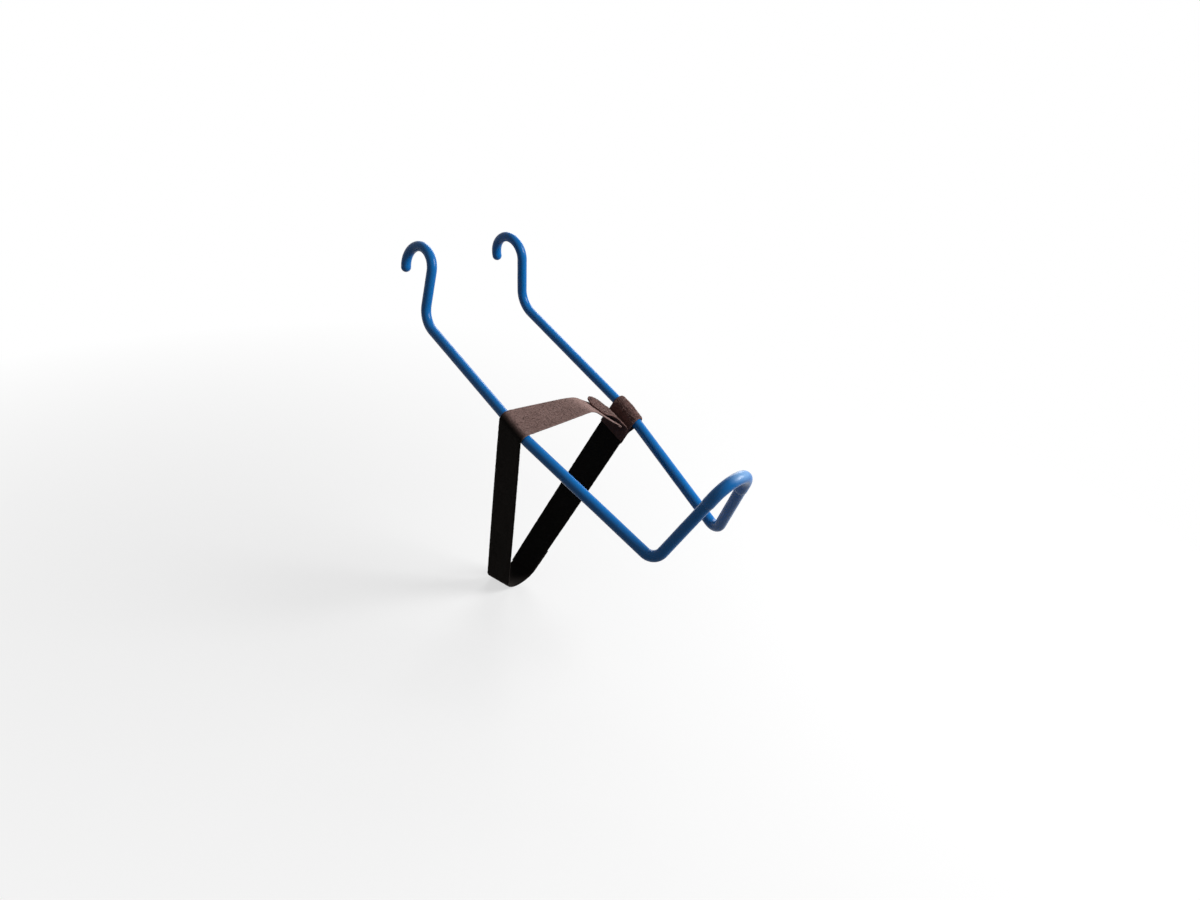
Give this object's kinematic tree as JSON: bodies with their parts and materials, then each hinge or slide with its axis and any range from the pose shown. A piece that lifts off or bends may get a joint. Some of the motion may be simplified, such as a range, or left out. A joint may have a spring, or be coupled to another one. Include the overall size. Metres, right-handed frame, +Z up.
{
  "type": "bicycle handlebar holder",
  "caption": "Bent blue dipped rod that hooks over a handlebar and bridges over the top tube to hold the front wheel straight, with a hook-and-loop strap round the frame.",
  "frame": {"origin": "on the handlebar's axis, midway between the two hooks", "axes": "+X to the front of the bicycle, +Y to the rider's left, +Z up"},
  "size_m": [0.3748, 0.1507, 0.349],
  "materials": {
    "dip_blue": "glossy vinyl dip over the rod, saturated blue, smooth with a slight ripple",
    "sleeve_blue": "soft shrunk sleeve of the same blue, slightly less glossy",
    "bare_steel": "drawn mild steel rod, hidden inside the dip",
    "loop_fabric": "brushed loop pile, very dark grey brown, matte",
    "hook_fabric": "woven hook tape, dark brown black, coarse and fuzzy",
    "thread": "black sewing thread"
  },
  "bodies": {
    "holder": {"steel_rod": "bare_steel", "dip_coat": "dip_blue", "yoke_coat": "dip_blue", "bridge_sleeve": "sleeve_blue", "side_tape": "loop_fabric", "hook_tape": "hook_fabric", "eye_lap": "hook_fabric", "eye_stitching": "thread", "tab_root": "hook_fabric", "lap_stitching": "thread"},
    "cross_run": {"cross_tape": "loop_fabric", "cross_hem": "loop_fabric", "hem_stitching": "thread"},
    "tab": {"hook_tab": "hook_fabric", "hook_patch": "hook_fabric", "tab_stitching": "thread"}
  },
  "joints": [
    {"name": "cross_drop", "type": "hinge", "parent": "holder", "child": "cross_run", "pos_m": [-0.15082, 0.06751, -0.11315], "axis": [0.8986, -0.0228, 0.4382], "range_deg": [0, 66]},
    {"name": "tab_peel", "type": "hinge", "parent": "holder", "child": "tab", "pos_m": [-0.16426, -0.05624, -0.12588], "axis": [0.9226, -0.0708, 0.3792], "range_deg": [0, 72]}
  ]
}
